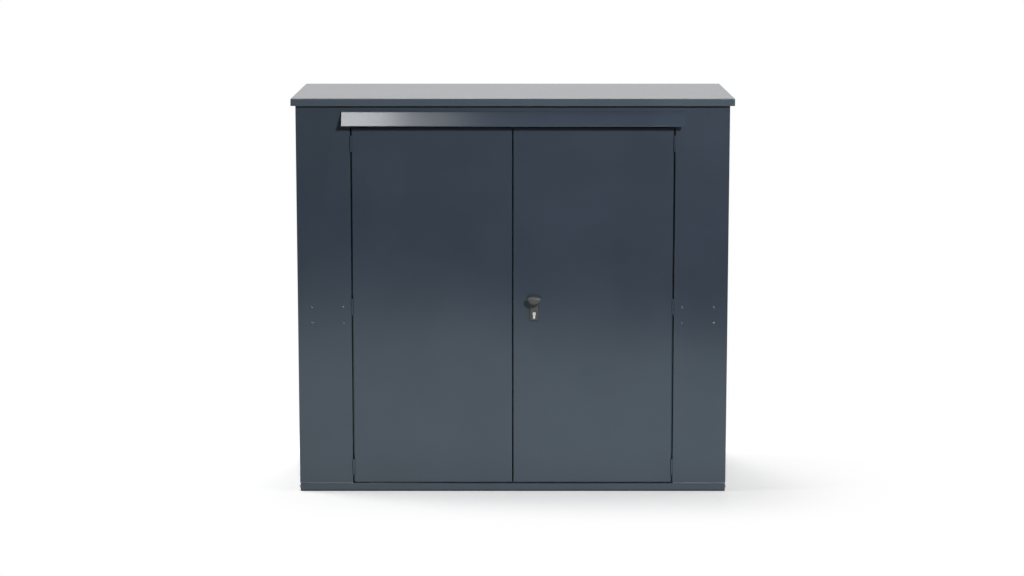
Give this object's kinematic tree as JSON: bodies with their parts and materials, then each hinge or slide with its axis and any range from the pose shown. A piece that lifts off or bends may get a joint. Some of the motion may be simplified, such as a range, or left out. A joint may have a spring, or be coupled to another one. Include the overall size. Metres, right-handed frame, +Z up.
{
  "type": "bicycle locker",
  "caption": "Free-standing steel locker for bicycles: folded wall panels, flat roof with a rain guard, and two flush doors with rod locking behind an oval knob.",
  "frame": {"origin": "on the ground, at the middle of the bottom of the whole bounding box", "axes": "+Z up, the doors face -Y, +X to the right seen from the front"},
  "size_m": [2.142, 0.99, 1.942],
  "materials": {
    "powder_coat": "satin anthracite powder coat with a fine orange peel",
    "galvanised_sheet": "dull galvanised sheet with a faint spangle",
    "zinc_plated_steel": "clear zinc plating, satin",
    "nickel_cylinder": "satin nickel plating",
    "black_handle": "moulded dark grey plastic, satin",
    "dark_fasteners": "powder coated with the panels"
  },
  "bodies": {
    "cabinet": {"base_front_rail": "powder_coat", "base_rear_rail": "powder_coat", "bottom_strike_plate": "zinc_plated_steel", "floor_panel": "galvanised_sheet", "header_panel": "powder_coat", "left_base_front_bolt": "zinc_plated_steel", "left_base_rear_bolt": "zinc_plated_steel", "left_base_side_rail": "powder_coat", "left_brace_plate": "dark_fasteners", "left_floor_bearer": "galvanised_sheet", "left_front_panel": "powder_coat", "left_lower_hinge_frame_leaf": "powder_coat", "left_middle_hinge_frame_leaf": "powder_coat", "left_rear_panel": "powder_coat", "left_roof_brace": "galvanised_sheet", "left_side_panel": "powder_coat", "left_upper_hinge_frame_leaf": "powder_coat", "rain_guard": "powder_coat", "right_base_front_bolt": "zinc_plated_steel", "right_base_rear_bolt": "zinc_plated_steel", "right_base_side_rail": "powder_coat", "right_brace_plate": "dark_fasteners", "right_floor_bearer": "galvanised_sheet", "right_front_panel": "powder_coat", "right_lower_hinge_frame_leaf": "powder_coat", "right_middle_hinge_frame_leaf": "powder_coat", "right_rear_panel": "powder_coat", "right_roof_brace": "galvanised_sheet", "right_side_panel": "powder_coat", "right_upper_hinge_frame_leaf": "powder_coat", "roof_tray": "powder_coat", "top_strike_plate": "zinc_plated_steel"},
    "left_door": {"left_door_skin": "powder_coat", "left_door_stiffener": "galvanised_sheet", "left_lower_hinge_door_leaf": "powder_coat", "left_middle_hinge_door_leaf": "powder_coat", "left_upper_hinge_door_leaf": "powder_coat", "top_shoot_bolt_bracket": "zinc_plated_steel", "bottom_shoot_bolt_bracket": "zinc_plated_steel"},
    "right_door": {"right_door_skin": "powder_coat", "right_door_stiffener": "galvanised_sheet", "right_lower_hinge_door_leaf": "powder_coat", "right_middle_hinge_door_leaf": "powder_coat", "right_upper_hinge_door_leaf": "powder_coat", "lock_plate": "black_handle", "lock_case": "zinc_plated_steel", "lock_case_cover": "zinc_plated_steel", "key_cylinder": "nickel_cylinder", "top_rod_guide": "zinc_plated_steel", "bottom_rod_guide": "zinc_plated_steel"},
    "knob": {"knob": "black_handle", "knob_spindle": "zinc_plated_steel"},
    "top_rod": {"top_rod": "zinc_plated_steel"},
    "bottom_rod": {"bottom_rod": "zinc_plated_steel"},
    "key_plug": {"key_plug": "nickel_cylinder"},
    "deadbolt": {"deadbolt": "zinc_plated_steel"},
    "top_shoot_bolt": {"top_shoot_bolt": "zinc_plated_steel"},
    "bottom_shoot_bolt": {"bottom_shoot_bolt": "zinc_plated_steel"}
  },
  "joints": [
    {"name": "left_door_swing", "type": "hinge", "parent": "cabinet", "child": "left_door", "pos_m": [-0.7835, -0.4443, 0.9215], "axis": [0, 0, -1], "range_deg": [0, 120]},
    {"name": "right_door_swing", "type": "hinge", "parent": "cabinet", "child": "right_door", "pos_m": [0.7835, -0.4443, 0.9215], "axis": [0, 0, 1], "range_deg": [0, 120]},
    {"name": "knob_turn", "type": "hinge", "parent": "right_door", "child": "knob", "pos_m": [0.1045, -0.44, 0.958], "axis": [0, 1, 0], "range_deg": [0, 90]},
    {"name": "top_rod_slide", "type": "slide", "parent": "right_door", "child": "top_rod", "axis": [0, 0, 1], "range_m": [0, 0.02199]},
    {"name": "bottom_rod_slide", "type": "slide", "parent": "right_door", "child": "bottom_rod", "axis": [0, 0, -1], "range_m": [0, 0.022]},
    {"name": "key_turn", "type": "hinge", "parent": "right_door", "child": "key_plug", "pos_m": [0.1045, -0.44, 0.8885], "axis": [0, -1, 0], "range_deg": [0, 180]},
    {"name": "deadbolt_slide", "type": "slide", "parent": "right_door", "child": "deadbolt", "axis": [-1, 0, 0], "range_m": [0, 0.0204]},
    {"name": "top_shoot_bolt_slide", "type": "slide", "parent": "left_door", "child": "top_shoot_bolt", "axis": [0, 0, 1], "range_m": [0, 0.025]},
    {"name": "bottom_shoot_bolt_slide", "type": "slide", "parent": "left_door", "child": "bottom_shoot_bolt", "axis": [0, 0, -1], "range_m": [0, 0.025]}
  ],
  "couplings": [
    {"joint": "knob_turn", "follows": "top_rod_slide", "rad_per_m": 71.429},
    {"joint": "bottom_rod_slide", "follows": "top_rod_slide", "ratio": 1},
    {"joint": "key_turn", "follows": "deadbolt_slide", "rad_per_m": 153.85}
  ]
}
